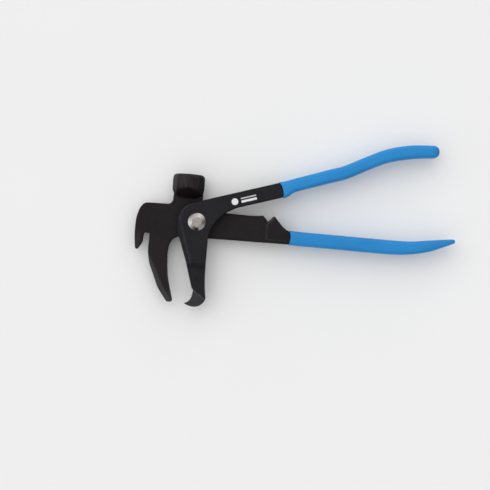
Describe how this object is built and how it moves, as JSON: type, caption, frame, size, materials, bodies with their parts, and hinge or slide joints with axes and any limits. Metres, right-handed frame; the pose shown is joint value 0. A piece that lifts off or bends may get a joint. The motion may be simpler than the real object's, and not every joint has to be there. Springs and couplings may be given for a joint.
{
  "type": "wheel weight hammer pliers",
  "caption": "Long-handled pliers with a curved jaw and a hooked jaw, an octagonal hammer head, a pry hook, a toothed cutting notch and dip-coated handles.",
  "frame": {"origin": "centre of the bounding box in plan, at the lowest point of the tool lying flat", "axes": "+X along the hammer arm towards the handle ends, +Y out of the striking face, +Z along the pivot towards the rivet head"},
  "size_m": [0.2496, 0.1392, 0.0249],
  "materials": {
    "blackened_steel": "satin black oxide over a forged surface",
    "rivet_steel": "turned, lightly brushed",
    "grip_vinyl": "smooth dip-coated vinyl, semi-matt"
  },
  "bodies": {
    "hammer_side": {"hammer_arm": "blackened_steel", "pivot_rivet": "rivet_steel", "lower_grip": "grip_vinyl"},
    "claw_side": {"claw_arm": "blackened_steel", "upper_grip": "grip_vinyl"}
  },
  "joints": [
    {"name": "pivot", "type": "hinge", "parent": "hammer_side", "child": "claw_side", "pos_m": [-0.07662, -0.00366, 0.01245], "axis": [0, 0, 1], "range_deg": [-8.3, 20]}
  ]
}
